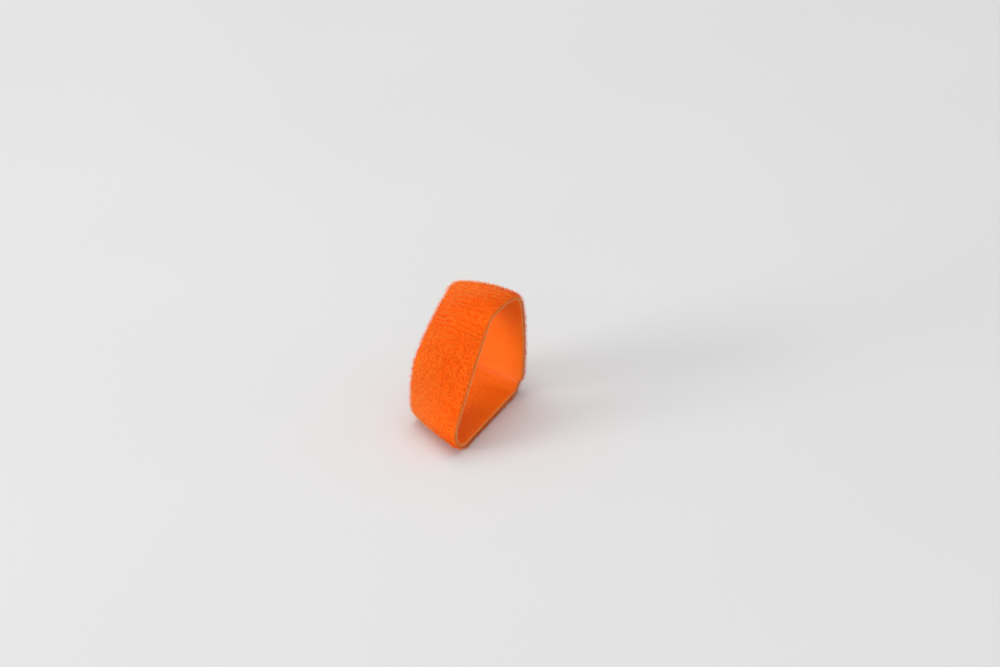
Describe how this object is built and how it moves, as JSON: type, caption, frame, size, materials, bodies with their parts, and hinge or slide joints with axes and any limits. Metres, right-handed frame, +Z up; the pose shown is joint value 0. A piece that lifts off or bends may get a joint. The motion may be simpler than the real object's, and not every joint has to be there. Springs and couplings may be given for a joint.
{
  "type": "hook and loop cable tie",
  "caption": "Orange hook and loop cable tie closed round a bundle, its outer face soft loop pile and its inner face fine hooks.",
  "frame": {"origin": "centre of the closed tie's box, at the flat underside that it rests on", "axes": "+X along the bundle, across the strap from its left edge to its right; +Y from the front to the back, where the strap laps over itself; +Z up"},
  "size_m": [0.0184, 0.0354, 0.0306],
  "materials": {
    "loop_tape": "bright orange nylon tape, dull brushed loops outside and fine hooks inside"
  },
  "bodies": {
    "root": {"strap": "loop_tape"}
  },
  "joints": []
}
